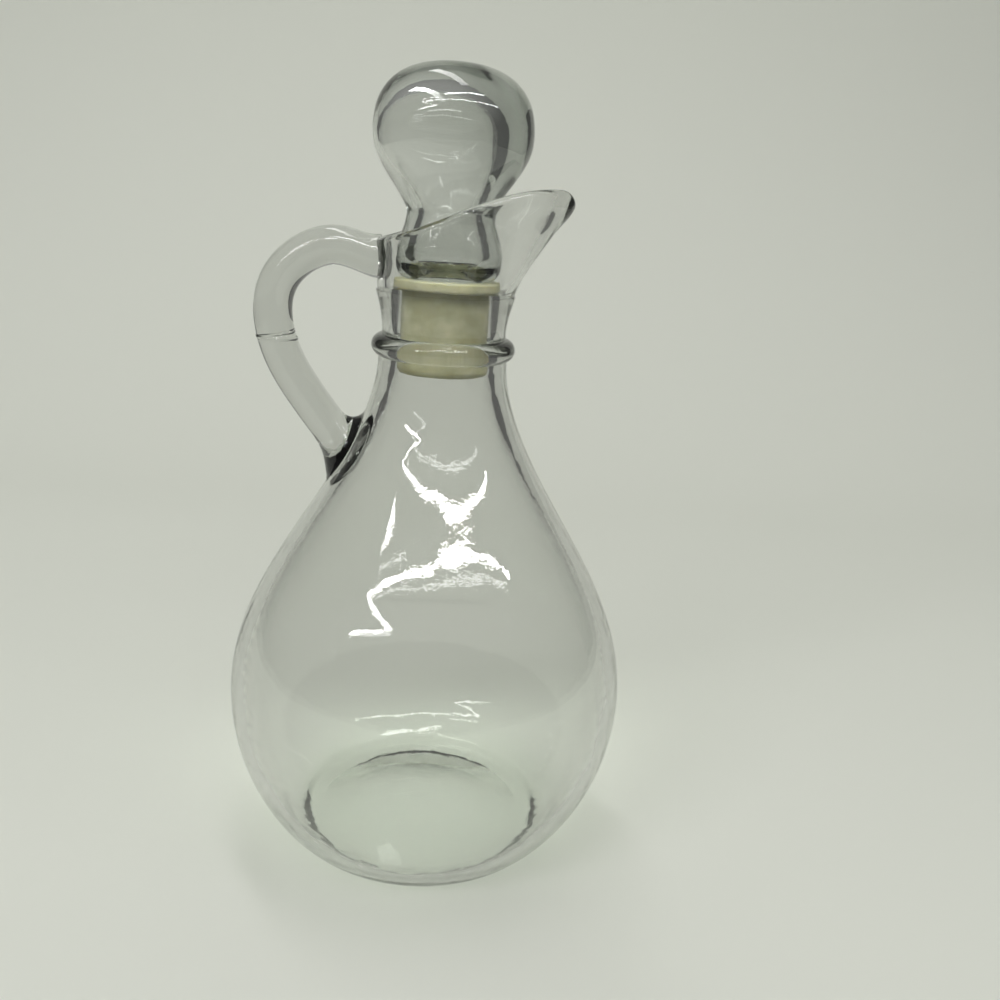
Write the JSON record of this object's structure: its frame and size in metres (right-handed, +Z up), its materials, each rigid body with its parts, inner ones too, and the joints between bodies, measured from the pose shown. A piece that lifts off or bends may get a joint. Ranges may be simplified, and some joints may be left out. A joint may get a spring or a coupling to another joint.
{
  "type": "oil cruet",
  "caption": "Clear glass pear-shaped oil cruet with a drawn-out pouring lip, a loop handle, a hollow round stopper and a soft plastic seal.",
  "frame": {"origin": "centre of the base, on the surface the cruet stands on", "axes": "+Z up along the bottle's axis, +X towards the pouring lip, -X towards the handle"},
  "size_m": [0.09, 0.09, 0.1729],
  "materials": {
    "clear_glass": "clear, smooth, fire-polished",
    "stopper_glass": "clear, smooth, thick-walled",
    "seal_plastic": "translucent soft plastic, aged yellow"
  },
  "bodies": {
    "root": {"bottle": "clear_glass", "stopper": "stopper_glass", "seal": "seal_plastic"}
  },
  "joints": []
}
